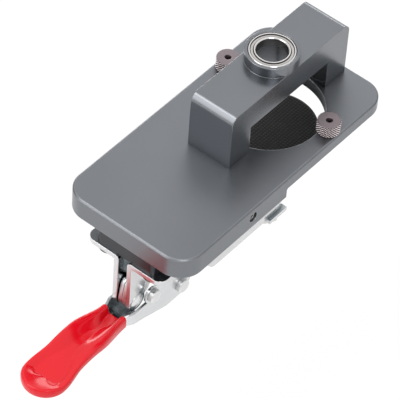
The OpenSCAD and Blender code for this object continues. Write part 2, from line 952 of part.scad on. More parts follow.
// Rise of the arch at a distance from the mouth; the thumb rest is level again
function grip_rise(s) = grip_arch * pow(sin(180 * min(s / (0.85 * grip_length), 1)), 2);

// Ring of points round the grip: under side from front to rear, then the dished top side back
function grip_ring(s, sides) =
    let (
        w = max(grip_half(s), tip_half),
        wall = min(grip_wall, 0.45 * w),
        ramp = (0.35 + 0.35 * ease(s / mouth_run)) * wall,
        rim = grip_rim(s)
    )
    [for (i = [0 : 2 * sides - 1])
        let (
            top = i >= sides,
            u = top ? 1 - 2 * (i - sides + 0.5) / sides : 2 * (i + 0.5) / sides - 1,
            y = w * sign(u) * (1 - pow(1 - abs(u), 1.6)),
            edge = ease((abs(y) - w + wall) / ramp),
            under = 0.5 * (grip_floor - grip_bottom) * pow(abs(y) / w, 8)
        )
        [mouth_x - s, y, (top ? grip_floor + rim * edge : grip_bottom + under) + grip_rise(s)]];

// Dipped coating: a dished paddle lofted along the handle, hollowed for the steel inside
module handle_grip() {
    sides = 12;
    rings = 26;
    count = 2 * sides;
    points = [for (k = [0 : rings]) each grip_ring(grip_length * sin(90 * k / rings), sides)];
    walls = [for (k = [0 : rings - 1], i = [0 : count - 1])
        let (a = k * count + i, b = k * count + (i + 1) % count)
        each [[a, b, a + count], [b, b + count, a + count]]];
    mouth_cap = [for (i = [0 : sides - 2])
        each [[i, count - 1 - i, i + 1], [i + 1, count - 1 - i, count - 2 - i]]];
    last = rings * count;
    tip_cap = [for (i = [0 : sides - 2])
        each [[last + i, last + i + 1, last + count - 1 - i],
              [last + i + 1, last + count - 2 - i, last + count - 1 - i]]];
    color("crimson")
    difference() {
        polyhedron(points, concat(walls, mouth_cap, tip_cap), convexity = 6);
        handle_lever();
    }
}

// Spindle

// Pressed washer across the foot of the bar, with its two edges turned down beside the nut
module flanged_washer() {
    half = washer_length / 2;
    union() {
        translate([-half, -washer_out, -washer_sheet])
            cube([washer_length, 2 * washer_out, washer_sheet]);
        both_sides()
            translate([-half, washer_out - lip_sheet, -washer_lip])
                cube([washer_length, lip_sheet, washer_lip]);
    }
}

// The flanged washer below the bar and a plain one on top
module flanged_washers() {
    color("gainsboro")
    translate([spindle_x, 0, 0])
        difference() {
            union() {
                translate([0, 0, bar_bottom])
                    flanged_washer();
                translate([0, 0, bar_top])
                    cylinder(d = spindle_d + 2 * plain_washer_rim, h = washer_sheet);
            }
            translate([0, 0, bar_bottom - washer_lip - past])
                cylinder(d = spindle_d + 2 * washer_play, h = bar_height + 2 * washer_lip + 2 * past);
        }
}

// Two hexagon nuts that lock the spindle at its height
module spindle_nuts() {
    flats_to_corners = 1 / cos(30);
    color("silver")
    for (z = [bar_top + washer_sheet, bar_bottom - washer_sheet - nut_height])
        translate([spindle_x, 0, z])
            difference() {
                cylinder(d = nut_flats * flats_to_corners, h = nut_height, $fn = 6);
                translate([0, 0, -past])
                    cylinder(d = spindle_d + 2 * running_gap, h = nut_height + 2 * past);
            }
}

// Threaded spindle with a flat head that the pad is moulded on
module spindle() {
    color("silver")
    translate([spindle_x, 0, pad_bottom])
        union() {
            cylinder(d = spindle_head_d, h = spindle_head_h);
            translate([0, 0, -spindle_length])
                cylinder(d = spindle_d, h = spindle_length + past);
        }
}

// Rubber pad that presses the door up against the plate
module pad() {
    bevel = 0.8;
    skirt = 3;
    r = pad_d / 2;
    color([0.1, 0.1, 0.1])
    translate([spindle_x, 0, pad_bottom])
        difference() {
            rotate_extrude()
                polygon([[0, 0], [r - skirt, 0], [r, pad_thickness - 2 * skirt], [r, pad_thickness - bevel],
                         [r - bevel, pad_thickness], [0, pad_thickness]]);
            translate([0, 0, -past])
                cylinder(d = spindle_head_d + 2 * fastener_gap, h = spindle_head_h + past);
        }
}

base_plate();
bridge();
bridge_screws();
bearing_outer_race();
bearing_inner_race();
bearing_balls();
bearing_cage();
bearing_shields();
pilot_bush_front();
pilot_bush_rear();
side_set_screw();
spacer_block();
clamp_screws();
clamp_base_front();
clamp_base_rear();
link_front();
link_rear();
link_rivet();
link_pin();
knee_rivets();
clamp_arm();
arm_rivet();
arm_spacers();
handle_lever();
handle_rivet();
handle_washers();
handle_grip();
flanged_washers();
spindle_nuts();
spindle();
pad();
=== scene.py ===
"""Hinge drilling jig: finishes, soft and turned pieces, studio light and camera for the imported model."""

import bmesh
import bpy
import numpy as np
from mathutils import Matrix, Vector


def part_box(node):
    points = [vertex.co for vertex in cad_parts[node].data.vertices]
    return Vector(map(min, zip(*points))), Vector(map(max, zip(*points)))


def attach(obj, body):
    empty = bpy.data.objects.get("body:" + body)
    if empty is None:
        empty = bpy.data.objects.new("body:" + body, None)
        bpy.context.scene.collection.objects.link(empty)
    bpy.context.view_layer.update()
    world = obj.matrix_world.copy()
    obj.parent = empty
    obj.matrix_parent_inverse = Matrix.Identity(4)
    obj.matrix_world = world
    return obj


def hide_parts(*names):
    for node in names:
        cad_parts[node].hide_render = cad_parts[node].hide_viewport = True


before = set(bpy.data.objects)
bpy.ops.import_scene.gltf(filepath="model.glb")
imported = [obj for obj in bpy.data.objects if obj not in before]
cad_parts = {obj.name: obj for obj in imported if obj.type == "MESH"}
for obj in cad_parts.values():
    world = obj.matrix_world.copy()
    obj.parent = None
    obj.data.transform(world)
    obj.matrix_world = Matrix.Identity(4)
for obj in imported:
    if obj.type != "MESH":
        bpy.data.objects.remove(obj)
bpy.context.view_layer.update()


# Base plate
# A milled aluminium plate with a step that stops against the edge of the door. It is bead blasted
# and anodised grey, so it has an even fine grain, and wear shows a little brighter along its edges.

class Shade:
    """One socket of a material's nodes. Python sums of shades and numbers add Math nodes."""

    def __init__(self, tree, socket=None):
        self.tree = tree
        self.socket = socket

    def node(self, kind, settings=None, inputs=None, output=0):
        """Adds a node of that kind: its settings first, then the values or links of its sockets."""
        made = self.tree.nodes.new(kind)
        for key, value in (settings or {}).items():
            setattr(made, key, value)
        for key, value in (inputs or {}).items():
            if isinstance(value, Shade):
                self.tree.links.new(value.socket, made.inputs[key])
            else:
                made.inputs[key].default_value = value
        return Shade(self.tree, made.outputs[output])

    def math(self, operation, *terms):
        """A Math node on up to three numbers or shades."""
        return self.node("ShaderNodeMath", {"operation": operation}, dict(enumerate(terms)))

    def __add__(self, other):
        return self.math("ADD", self, other)

    def __sub__(self, other):
        return self.math("SUBTRACT", self, other)

    def __rsub__(self, other):
        return self.math("SUBTRACT", other, self)

    def __mul__(self, other):
        return self.math("MULTIPLY", self, other)

    __radd__ = __add__
    __rmul__ = __mul__

    def feed(self, links):
        """Links shades to sockets of the material's Principled shader."""
        shader = self.tree.nodes["Principled BSDF"]
        for key, shade in links.items():
            self.tree.links.new(shade.socket, shader.inputs[key])


def finish(name, numbers):
    """A Principled material with its fixed numbers set on the shader, and a shade to grow nodes from."""
    material = bpy.data.materials.new(name)
    material.use_nodes = True
    shader = material.node_tree.nodes["Principled BSDF"]
    for key, value in numbers.items():
        shader.inputs[key].default_value = value
    return material, Shade(material.node_tree)


def mixed(mask, low, high):
    """A colour that goes from low to high as the mask goes from 0 to 1. A Mix node takes its factor at
    socket 0 and its colours at 6 and 7, and gives the colour between them at output 2."""
    low, high = (tone if isinstance(tone, Shade) else (*tone, 1.0) for tone in (low, high))
    return mask.node("ShaderNodeMix", {"data_type": "RGBA"}, {0: mask, 6: low, 7: high}, 2)


def between(shade, low, high):
    """Mask that goes from 0 where the shade is at low to 1 where it is at high, and holds beyond them."""
    return shade.node("ShaderNodeMapRange", {}, {"Value": shade, "From Min": low, "From Max": high})


def grain(shade, cells, detail=2.0, stretch=(1.0, 1.0, 1.0)):
    """Noise on the piece's own coordinates, of that many cells to a metre, drawn out along the axes
    where stretch is below 1."""
    place = shade.node("ShaderNodeTexCoord", output="Object")
    place = shade.node("ShaderNodeMapping", {}, {"Vector": place, "Scale": stretch})
    return shade.node("ShaderNodeTexNoise", {}, {"Vector": place, "Scale": cells, "Detail": detail})


def rounded_edges(shade, radius):
    """Normal as if every edge had that radius, and a mask that is 1 on those edges, where the cosine
    between that normal and the flat one falls."""
    soft = shade.node("ShaderNodeBevel", {"samples": 6}, {"Radius": radius})
    flat = shade.node("ShaderNodeNewGeometry", output="Normal")
    cosine = shade.node("ShaderNodeVectorMath", {"operation": "DOT_PRODUCT"}, {0: soft, 1: flat}, "Value")
    return soft, between(cosine, 0.995, 0.85)


def bumped(shade, height, strength, depth, normal=None):
    """Normal of a surface that rises and falls by depth with the height shade."""
    inputs = {"Strength": strength, "Distance": depth, "Height": height}
    if normal:
        inputs["Normal"] = normal
    return shade.node("ShaderNodeBump", {}, inputs)


clear_sky, sky_fade = 0.64, 0.40


def painted_hollow_shade(shade, width, clear=clear_sky):
    """Mask of painted shade, 1 at the bottom of recesses and bores of about that width. It falls as more
    of the sky over the face is open, and is 0 from the clear share on."""
    sky = shade.node("ShaderNodeAmbientOcclusion", {"samples": 6}, {"Distance": width}, "AO")
    return 1.0 - between(sky, clear - sky_fade, clear)


def anodised(name, tone, worn, roughness, edge_r, shade_width, blasting):
    """Blasted and anodised aluminium: cloudy tone, fine grain, edges rounded and slightly worn. Bores and
    corners get painted shade, a darker copy of the tone. The roughness is the mean one, so the means of
    the two noises are taken off it."""
    material, start = finish(name, {"Metallic": 1.0})
    cloud = grain(start, cells=38.0, detail=3.0)
    blast = grain(start, cells=4200.0)
    soft, edge = rounded_edges(start, edge_r)
    low, high, shaded_tone = (tuple(c * share for c in tone) for share in (0.93, 1.07, 0.3))
    scuff = edge * grain(start, cells=260.0, detail=4.0) * 0.6
    # Painted shade: recesses take a copy of the tone at 0.3 of its brightness.
    tint = mixed(painted_hollow_shade(start, shade_width), mixed(cloud, low, high), shaded_tone)
    start.feed({"Base Color": mixed(scuff, tint, worn),
                "Roughness": cloud * 0.06 + blast * 0.08 + (roughness - 0.07),
                "Normal": bumped(start, blast, strength=blasting, depth=0.00006, normal=soft)})
    return material


def dress(material, *nodes):
    """Gives CAD nodes that material in all their slots."""
    for name in nodes:
        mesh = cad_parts[name].data
        mesh.materials.clear()
        mesh.materials.append(material)


dress(anodised("grey_anodise", tone=(0.186, 0.195, 0.209), worn=(0.64, 0.65, 0.67), roughness=0.37,
               edge_r=0.0006, shade_width=0.007, blasting=0.16), "base_plate")


# Bridge
# A separate milled arch of the same anodised aluminium, finer blasted. A boss is turned on it for
# the bearing, and it is screwed to the plate from below.

dress(anodised("fine_anodise", tone=(0.193, 0.202, 0.216), worn=(0.48, 0.49, 0.51), roughness=0.25,
               edge_r=0.0004, shade_width=0.016, blasting=0.09), "bridge")


# Screws
# Oiled black steel screws, with a brownish bloom and lighter edges. Four countersunk ones hold the
# bridge, and four headed ones hold the clamp and its block to the plate.

screw_black, start = finish("screw_black", {"Metallic": 0.2})
oil_bloom = grain(start, cells=420.0, detail=4.0)
screw_soft, screw_edge = rounded_edges(start, radius=0.0003)
oiled = mixed(oil_bloom, (0.010, 0.010, 0.011), (0.020, 0.019, 0.018))
start.feed({"Base Color": mixed(screw_edge * 0.3, oiled, (0.10, 0.10, 0.10)),
            "Roughness": oil_bloom * 0.2 + 0.36,
            "Normal": bumped(start, oil_bloom, strength=0.1, depth=0.00005, normal=screw_soft)})
dress(screw_black, "bridge_screws", "clamp_screws")


# Drill bearing
# A thin ball bearing pressed into the boss: polished races with fine turning marks, two pressed
# shields, bright balls and a brass cage. The cutter's shank runs in its bore.

def round_r(node):
    """Radius of a round CAD node, from its box along X."""
    low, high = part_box(node)
    return (high[0] - low[0]) / 2


shield_r = round_r("bearing_shields")
inner_r = round_r("bearing_inner_race")
outer_r = round_r("bearing_outer_race")
drill_r, bore_margin, seam_half = 0.006, 0.00003, 0.00016


def turned(name, tone, roughness, pitch, depth, seams=(), bore=0.0):
    """Polished steel with turning rings round the drill axis, one ring to each pitch. A fine line of
    painted shade darkens each seam's radius, and the wall inside the bore's radius is rougher and painted
    dark as shade."""
    material, start = finish(name, {"Metallic": 1.0})
    place = start.node("ShaderNodeTexCoord", output="Object")
    flat = start.node("ShaderNodeVectorMath", {"operation": "MULTIPLY"}, {0: place, 1: (1.0, 1.0, 0.0)})
    radius = start.node("ShaderNodeVectorMath", {"operation": "LENGTH"}, {0: flat}, "Value")
    rings = start.math("SINE", radius * (2.0 * np.pi / pitch)) * 0.5 + 0.5
    smear = grain(start, cells=300.0, detail=3.0)
    soft, edge = rounded_edges(start, radius=0.00015)
    # Painted shade: the bore's wall and a fine line at each seam, where the gaps lie, are coloured near
    # black.
    shaded_and_rough = start.math("LESS_THAN", radius, bore + bore_margin) * 0.75
    for seam in seams:
        seam_shade = start.math("COMPARE", radius, seam, seam_half) * 0.95
        shaded_and_rough = start.math("MAXIMUM", shaded_and_rough, seam_shade)
    tint = mixed(edge * 0.4, mixed(smear, tuple(c * 0.92 for c in tone), tone), (0.95, 0.95, 0.95))
    start.feed({"Base Color": mixed(shaded_and_rough, tint, (0.02, 0.02, 0.021)),
                "Roughness": smear * 0.08 + rings * 0.04 + shaded_and_rough * 0.2 + (roughness - 0.06),
                "Normal": bumped(start, rings, strength=0.25, depth=depth, normal=soft)})
    return material


dress(turned("bearing_chrome", tone=(0.66, 0.65, 0.64), roughness=0.12, pitch=0.00018, depth=0.000004,
             seams=(shield_r, outer_r, inner_r), bore=drill_r),
      "bearing_outer_race", "bearing_inner_race", "bearing_balls")
dress(turned("shield_steel", tone=(0.50, 0.48, 0.47), roughness=0.2, pitch=0.0003, depth=0.000008,
             seams=(shield_r, inner_r)), "bearing_shields")
dress(turned("cage_brass", tone=(0.70, 0.49, 0.20), roughness=0.28, pitch=0.0002, depth=0.000006),
      "bearing_cage")


# Pilot bushes
# Two loose steel bushes, nickel plated, with a diamond knurl for the fingers and a bored shank that
# stands in the plate. They lift out once the screw holes are drilled.

scene = bpy.context.scene


def surface(name, points, closed_u=False, closed_v=False, merge=1e-7, relief=None):
    """Mesh object from a grid of points, rows along u and columns along v. Each cell is one face.
    relief, from 0 in a groove to 1 on a ridge, is kept on the points for the material. Points closer
    than merge become one, which closes seams and poles."""
    rows, columns = points.shape[:2]
    u = np.arange(rows if closed_u else rows - 1)[:, None]
    v = np.arange(columns if closed_v else columns - 1)[None, :]
    u1, v1 = (u + 1) % rows, (v + 1) % columns
    faces = np.stack([u * columns + v, u1 * columns + v, u1 * columns + v1, u * columns + v1], axis=-1)
    mesh = bpy.data.meshes.new(name)
    mesh.from_pydata(points.reshape(-1, 3), [], faces.reshape(-1, 4))
    if relief is not None:
        layer = mesh.attributes.new("relief", "FLOAT", "POINT")
        values = np.broadcast_to(relief, points.shape[:2]).astype(np.float32)
        layer.data.foreach_set("value", values.ravel())
    shell = bmesh.new()
    shell.from_mesh(mesh)
    bmesh.ops.remove_doubles(shell, verts=shell.verts, dist=merge)
    bmesh.ops.recalc_face_normals(shell, faces=shell.faces)
    shell.to_mesh(mesh)
    shell.free()
    mesh.shade_smooth()
    piece = bpy.data.objects.new(name, mesh)
    scene.collection.objects.link(piece)
    return piece


def along(corners, steps):
    """Points along a path of straight runs: each run is cut in its number of equal steps."""
    corners = np.asarray(corners, float)
    runs = [np.linspace(a, b, n, endpoint=False) for a, b, n in zip(corners[:-1], corners[1:], steps)]
    return np.concatenate(runs + [corners[-1:]])


def round_angles(count):
    """Column of that many equal angles round a full turn."""
    return np.linspace(0.0, 2.0 * np.pi, count, endpoint=False)[:, None]


def spun(profile, count, swell=None):
    """Points of a profile of radius and height turned round Z, on a grid of angle and profile place.
    swell(angle, radius, height) is added to the radius."""
    angle = round_angles(count)
    radius, height = profile[None, :, 0], profile[None, :, 1]
    grown = radius + (swell(angle, radius, height) if swell else 0.0 * angle)
    return np.stack([grown * np.cos(angle), grown * np.sin(angle), height + 0.0 * angle], axis=-1)


def wave(phase):
    """Triangle wave of period 1 between 0 and 1."""
    return 2.0 * np.abs(phase - np.floor(phase + 0.5))


bush_low, bush_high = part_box("pilot_bush_front")
bush_foot, bush_top = bush_low[2], bush_high[2]
bush_head_r, bush_shank_r, bush_bore_r, bush_shoulder = 0.0046, 0.0025, 0.00125, 0.005
bush_bevel, shoulder_bevel, bore_bevel, bush_sides = 0.0003, 0.0004, 0.0001, 408
knurl_teeth, knurl_deep, knurl_rise, knurl_crest, knurl_fade = 26, 0.00050, 0.0011, 1.25, 0.0002
plain_mark = 2.0  # relief on the faces that have no knurl


def pyramids(angle, height):
    """Height of the knurl from 0 in its grooves to 1 on its points: the lower of two triangle waves,
    which climb round the rim in opposite turns, cut off so that the points are a little flat."""
    turn = angle * knurl_teeth / (2.0 * np.pi)
    climb = (height - bush_shoulder) / knurl_rise
    return np.clip(np.minimum(wave(turn + climb), wave(turn - climb)) * knurl_crest, 0.0, 1.0)


def knurl(angle, radius, height):
    """Cuts the grooves in the rim. They fade out where the rim's bevels begin."""
    rim = np.clip((radius - bush_head_r + bush_bevel) / knurl_fade, 0.0, 1.0)
    return -knurl_deep * rim * (1.0 - pyramids(angle, height))


bush_profile = along([(bush_bore_r, bush_foot), (bush_shank_r - bush_bevel, bush_foot),
                      (bush_shank_r, bush_foot + bush_bevel), (bush_shank_r, bush_shoulder),
                      (bush_head_r - shoulder_bevel, bush_shoulder),
                      (bush_head_r, bush_shoulder + shoulder_bevel),
                      (bush_head_r, bush_top - bush_bevel), (bush_head_r - bush_bevel, bush_top),
                      (bush_bore_r + bore_bevel, bush_top), (bush_bore_r, bush_top - bore_bevel)],
                     [4, 2, 6, 6, 4, 44, 4, 14, 2])
on_rim = np.abs(bush_profile[None, :, 0] - bush_head_r) < 0.0001
rim_relief = pyramids(round_angles(bush_sides), bush_profile[None, :, 1])
bush_relief = np.where(on_rim, rim_relief, plain_mark)

bush_nickel, start = finish("bush_nickel", {"Metallic": 1.0})
tarnish = grain(start, cells=900.0, detail=3.0)
facing_cut = grain(start, cells=2600.0, detail=1.0)
relief = start.node("ShaderNodeAttribute", {"attribute_name": "relief"}, output="Fac")
plain = start.math("GREATER_THAN", relief, (1.0 + plain_mark) / 2)
# Painted highlight and shade: the knurl's points are coloured near white and its grooves near black.
knurl_highlight_and_shade = mixed(between(relief, 0.30, 0.75), (0.016, 0.012, 0.014), (0.88, 0.78, 0.79))
plain_tone = mixed(tarnish, (0.205, 0.172, 0.182), (0.262, 0.222, 0.235))
start.feed({"Base Color": mixed(plain, knurl_highlight_and_shade, plain_tone),
            "Roughness": tarnish * 0.14 + 0.3,
            "Normal": bumped(start, facing_cut, strength=0.12, depth=0.00003)})

for side in ("front", "rear"):
    low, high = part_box("pilot_bush_" + side)
    points = spun(bush_profile, bush_sides, knurl)
    points[..., :2] += (np.array(low[:2]) + np.array(high[:2])) / 2.0
    bush = surface("knurled_bush_" + side, points, closed_u=True, closed_v=True, relief=bush_relief)
    bush.data.materials.append(bush_nickel)
    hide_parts("pilot_bush_" + side)
    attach(bush, "bush_" + side)


# Side set screw
# A small headless screw of zinc plated steel with a hexagon socket, turned in until it is sunk in
# the front edge of the plate.

def plated(name, tone, roughness, streak=(1.0, 1.0, 1.0), shade_width=0.002, clear=clear_sky):
    """Zinc plated steel: cloudy plating over faint rolling streaks, with rounded bright edges. Recesses of
    that width get painted shade in a dark teal, and sheared edges that face the near end are rougher. The
    roughness is the mean one elsewhere."""
    material, start = finish(name, {"Metallic": 1.0})
    cloud = grain(start, cells=90.0)
    rolling = grain(start, cells=420.0, stretch=streak)
    soft, edge = rounded_edges(start, radius=0.0004)
    facing = start.node("ShaderNodeTexCoord", output="Normal")
    sheared = between(start.node("ShaderNodeSeparateXYZ", {}, {0: facing}, "X"), -0.6, -0.9)
    tint = mixed(cloud * 0.6 + rolling * 0.4, tuple(c * 0.88 for c in tone), tone)
    tint = mixed(edge * 0.4, tint, (0.88, 0.88, 0.88))
    # Painted shade: recesses take a dark teal colour.
    start.feed({"Base Color": mixed(painted_hollow_shade(start, shade_width, clear), tint, (0.062, 0.100, 0.112)),
                "Roughness": cloud * 0.08 + rolling * 0.06 + sheared * 0.16 + (roughness - 0.07),
                "Normal": bumped(start, rolling, strength=0.05, depth=0.00003, normal=soft)})
    return material


dress(plated("set_screw_zinc", tone=(0.55, 0.55, 0.54), roughness=0.3), "side_set_screw")


# Spacer block
# A sawn aluminium block, blasted like the plate and anodised black. The clamp's screws hold it
# between the plate and the clamp.

dress(anodised("block_black", tone=(0.052, 0.053, 0.057), worn=(0.20, 0.20, 0.21), roughness=0.34,
               edge_r=0.0004, shade_width=0.007, blasting=0.16), "spacer_block")


# Clamp base
# Two pressed halves of bright zinc plated steel sheet. Each has a flange under the block and a web
# that carries the pivots, with a joggle between the link's end and the arm's end.

# Painted shade over recesses 9 mm wide darkens the gaps between the pieces.
dress(plated("clamp_zinc", tone=(0.68, 0.68, 0.69), roughness=0.18, streak=(1.0, 1.0, 0.2), shade_width=0.009),
      "clamp_base_front", "clamp_base_rear")


# Toggle linkage
# Two short blanked links between the webs, on a headed rivet, and a plain pin and two button rivets
# at the knee. The links keep the direction in which the sheet was rolled. The clamp's other rivets,
# spacers and thin washers are turned and plated like these.

dress(plated("link_zinc", tone=(0.69, 0.69, 0.70), roughness=0.18, streak=(0.2, 1.0, 1.0)),
      "link_front", "link_rear")
dress(plated("rivet_zinc", tone=(0.76, 0.76, 0.76), roughness=0.36),
      "link_rivet", "link_pin", "knee_rivets", "arm_rivet", "arm_spacers", "handle_rivet",
      "handle_washers")


# Clamp arm
# A flat steel bar bent to a long U and zinc plated. It swings on the base and holds the spindle in
# its bend, between a flanged washer below and a plain one on top.

dress(plated("bar_zinc", tone=(0.72, 0.72, 0.73), roughness=0.19, streak=(0.15, 1.0, 1.0)), "clamp_arm")
# Its painted shade starts at a clearer sky, so the washer's top inside its lip is painted dark.
dress(plated("washer_zinc", tone=(0.72, 0.72, 0.73), roughness=0.24, shade_width=0.010, clear=0.87),
      "flanged_washers")


# Handle
# A pressed channel of the same plated steel, with two side plates on the pivots and a tongue that
# ends in the grip.

# Painted shade darkens the channel's floor between its walls.
dress(plated("lever_zinc", tone=(0.71, 0.72, 0.73), roughness=0.2, streak=(0.15, 1.0, 1.0), shade_width=0.009,
             clear=0.57), "handle_lever")


# Grip
# Red vinyl dipped over the handle: a dished paddle with soft round rims, a waist, a wide thumb rest
# and an open mouth where the steel comes out.

grip_low, grip_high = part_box("handle_grip")
mouth_x, grip_under = grip_high[0], grip_low[2]
grip_length, grip_arch, arch_share = mouth_x - grip_low[0], 0.0027, 0.85
mouth_half, body_half, thumb_half = 0.0058, 0.0080, 0.0092
mouth_run, widen_from, widen_run = 0.016, 0.56, 0.22
dish_floor, lip_bulge = grip_under + 0.0026, 0.0005
rim_mouth, rim_body, rim_thumb, rim_end = 0.0030, 0.0015, 0.0011, 0.0009
wall_body, wall_thumb = 0.0025, 0.0017
slope_mouth, slope_waist, slope_thumb, slope_end = 0.0010, 0.0030, -0.0018, 0.0042
waist_from, waist_run, fall_from, fall_run = 0.001, 0.009, 0.003, 0.020
thumb_from, thumb_run = 0.45, 0.25
side_stations, end_stations, section_points = 70, 61, 76


def eased(t):
    """Smooth step from 0 to 1."""
    t = np.clip(t, 0.0, 1.0)
    return t * t * (3.0 - 2.0 * t)


def grip_half(s):
    """Half width of the grip at a distance s from its mouth, without the round end."""
    body = mouth_half + (body_half - mouth_half) * eased(s / mouth_run)
    return body + (thumb_half - body_half) * eased((s / grip_length - widen_from) / widen_run)


def loop(control, count):
    """Open cubic B-spline on a row of control points, from the first to the last, for each station at
    once. The end points count three times, so the curve reaches them."""
    first, last = control[:, :1], control[:, -1:]
    held = np.concatenate([first, first, control, last, last], axis=1)
    t = np.linspace(0.0, held.shape[1] - 3.0 - 1e-9, count)
    k = t.astype(int)
    f = (t - k)[None, :, None]
    a, b, c, d = (held[:, k + i] for i in range(4))
    return ((1 - f) ** 3 * a + (3 * f ** 3 - 6 * f ** 2 + 4) * b
            + (-3 * f ** 3 + 3 * f ** 2 + 3 * f + 1) * c + f ** 3 * d) / 6.0


def grip_points():
    """Carries a half section round the outline, from the mouth along one side, round the end and back.
    The section runs from the middle of the under side, round the rim, to the middle of the dish. Each
    place lies between a spine point and the outline: the spine is the middle line, and stands still at
    the centre of the round end, where the dish scoops up to the rim in a long slope. The rim is high at
    the mouth and low along the body. An arch of one squared sine lifts the grip ahead of its thumb
    rest, and both ends of the grid close over the mouth in a shallow bulge."""
    straight = grip_length - thumb_half
    s = straight * np.linspace(0.0, 1.0, side_stations)
    turn = np.linspace(np.pi / 2, -np.pi / 2, end_stations)[1:-1]
    spine = np.concatenate([s, np.full(turn.size, straight), s[::-1]])
    reach = np.concatenate([grip_half(s), np.full(turn.size, thumb_half), grip_half(s[::-1])])
    way = np.concatenate([np.full(s.size, np.pi / 2), turn, np.full(s.size, -np.pi / 2)])
    waist = eased((spine - waist_from) / waist_run)
    thumb = eased((spine / grip_length - thumb_from) / thumb_run)
    fall = eased((spine - fall_from) / fall_run)
    end = eased(1.2 * np.cos(way))
    rim = rim_mouth + (rim_body - rim_mouth) * fall + (rim_thumb - rim_body) * thumb + rim_end * end
    wall = wall_body + (wall_thumb - wall_body) * thumb
    slope = slope_mouth + slope_waist * waist + slope_thumb * thumb + slope_end * end
    brink, foot = reach - wall, reach - wall - slope
    middle_line, top = np.zeros_like(reach), dish_floor + rim
    under, floor_level = np.full_like(reach, grip_under), np.full_like(reach, dish_floor)
    control = [(middle_line, under), (0.5 * reach, under), (reach - 0.0018, under),
               (reach - 0.0003, under + 0.0003), (reach, under + 0.0014), (reach, top - 0.0012),
               (reach - 0.0003, top - 0.0003), (0.5 * (reach + brink), top), (brink, top - 0.0002),
               (0.65 * brink + 0.35 * foot, top - 0.34 * rim),
               (0.3 * brink + 0.7 * foot, top - 0.70 * rim), (foot, floor_level),
               (0.8 * foot, floor_level), (0.4 * foot, floor_level), (middle_line, floor_level)]
    section = loop(np.array(control).transpose(2, 0, 1), section_points)
    outward, height = section[..., 0], section[..., 1]
    length = spine[:, None] + outward * np.cos(way)[:, None]
    arch = grip_arch * np.sin(np.pi * np.clip(length / (arch_share * grip_length), 0.0, 1.0)) ** 2
    points = np.stack([mouth_x - length, outward * np.sin(way)[:, None], height + arch], axis=-1)
    middle = 0.5 * (points + points[:, ::-1])
    shrink = np.array([0.0, 0.75, 0.95])[:, None, None]
    bulge = lip_bulge * np.sqrt(1.0 - shrink ** 2) * (1.0, 0.0, 0.0)
    start_lip, end_lip = (middle[i] + (points[i] - middle[i]) * shrink + bulge for i in (0, -1))
    return np.concatenate([start_lip, points, end_lip[::-1]])


grip = surface("dipped_grip", grip_points(), merge=2e-6)
grip_red, start = finish("grip_red", {"IOR": 1.5, "Specular IOR Level": 0.40})
flow = grain(start, cells=55.0, detail=3.0)
skin = grain(start, cells=1500.0)
start.feed({"Base Color": mixed(flow, (0.57, 0.001, 0.007), (0.66, 0.002, 0.012)),
            "Roughness": flow * 0.06 + skin * 0.03 + 0.11,
            "Normal": bumped(start, flow * 6.0 + skin * 0.3, strength=0.1, depth=0.00012)})
grip.data.materials.append(grip_red)
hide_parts("handle_grip")
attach(grip, "handle")


# Spindle and its nuts
# A threaded steel rod with a flat head, held in the arm's bend by two chamfered hexagon nuts on
# washers. The nuts set the height of the pad.

pad_low, pad_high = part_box("pad")
spindle_x, pad_foot, pad_top = (pad_low[0] + pad_high[0]) / 2, pad_low[2], pad_high[2]
spindle_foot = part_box("spindle")[0][2]
thread_r, thread_pitch, thread_deep = 0.003, 0.001, 0.00055
thread_start, thread_end, head_gap = 0.0012, 0.0015, 0.002
rod_bevel, rod_head_r, rod_head_tall, rod_sides = 0.0006, 0.006, 0.0035, 48


def thread(angle, radius, height):
    """A helical V groove of one pitch to the turn, fading out at the foot and below the head."""
    groove = 1.0 - wave(height / thread_pitch - angle / (2.0 * np.pi))
    fade = eased((height - spindle_foot) / thread_start)
    fade = fade * eased((pad_foot - head_gap - height) / thread_end)
    return -thread_deep * groove * fade * (np.abs(radius - thread_r) < 1e-5)


rod = along([(0.0, spindle_foot), (thread_r - rod_bevel, spindle_foot),
             (thread_r, spindle_foot + rod_bevel), (thread_r, pad_foot), (rod_head_r, pad_foot),
             (rod_head_r, pad_foot + rod_head_tall), (0.0, pad_foot + rod_head_tall)],
            [3, 2, 384, 4, 4, 6])
spindle = surface("threaded_spindle", spun(rod, rod_sides, thread) + (spindle_x, 0.0, 0.0), closed_u=True)

nuts_low, nuts_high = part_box("spindle_nuts")
nut_flats, nut_tall, nut_bore, nut_bevel = 0.010, 0.0032, 0.00305, 0.0004
nut_crown, nut_sides = 0.96, 144


def nut_points(foot):
    """A hexagon with both ends chamfered by a cone: beyond the round crown, the side's height at an
    angle falls with its reach."""
    angle = round_angles(nut_sides)
    reach = 0.5 * nut_flats / np.cos((angle + np.pi / 6) % (np.pi / 3) - np.pi / 6)
    one = np.ones_like(angle)
    foot_level, top_level, bore = 0.0 * one, nut_tall * one, nut_bore * one
    crown, mouth = 0.5 * nut_flats * nut_crown * one, bore + nut_bevel
    drop = (reach - crown) * np.tan(np.pi / 6)
    radius = np.concatenate([mouth, crown, reach, reach, crown, mouth, bore, bore], axis=1)
    height = np.concatenate([foot_level, foot_level, drop, nut_tall - drop, top_level, top_level,
                             top_level - nut_bevel, foot_level + nut_bevel], axis=1)
    return np.stack([radius * np.cos(angle) + spindle_x, radius * np.sin(angle), foot + height], axis=-1)


